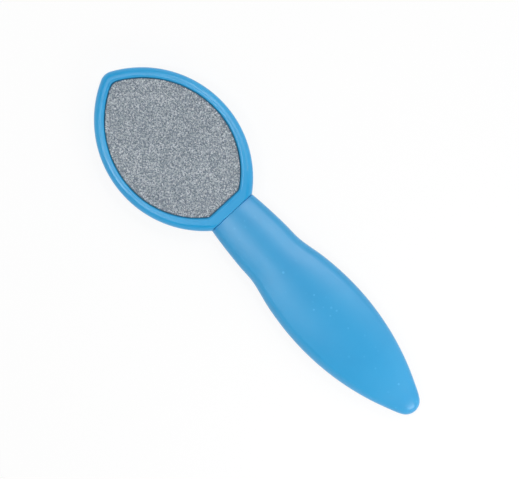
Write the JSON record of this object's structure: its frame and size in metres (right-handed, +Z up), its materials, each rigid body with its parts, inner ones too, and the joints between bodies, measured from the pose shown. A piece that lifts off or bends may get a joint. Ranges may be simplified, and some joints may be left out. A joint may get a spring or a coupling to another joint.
{
  "type": "foot file",
  "caption": "Hand-held foot file: pointed oval head frame with a recessed abrasive pad on each face, joined to a hollow soft-touch handle with a palm swell.",
  "frame": {"origin": "middle of the tool's outline seen from the front, on the plane that it lies on", "axes": "+X along the tool from the head to the handle's tip, +Y across it, +Z up, out of the coarse face"},
  "size_m": [0.179, 0.0534, 0.0108],
  "materials": {
    "rim_plastic": "glossy moulded plastic, sky blue",
    "grip_plastic": "matte soft-touch plastic, paler sky blue",
    "adhesive_film": "clear-cream film",
    "backing_plate": "stiff dark sheet",
    "coarse_abrasive": "coarse grey grit",
    "fine_abrasive": "fine grey grit"
  },
  "bodies": {
    "root": {"head_frame": "rim_plastic", "front_handle_shell": "grip_plastic", "rear_handle_shell": "grip_plastic", "coarse_adhesive": "adhesive_film", "coarse_backing": "backing_plate", "coarse_grit": "coarse_abrasive", "fine_adhesive": "adhesive_film", "fine_backing": "backing_plate", "fine_grit": "fine_abrasive"}
  },
  "joints": []
}
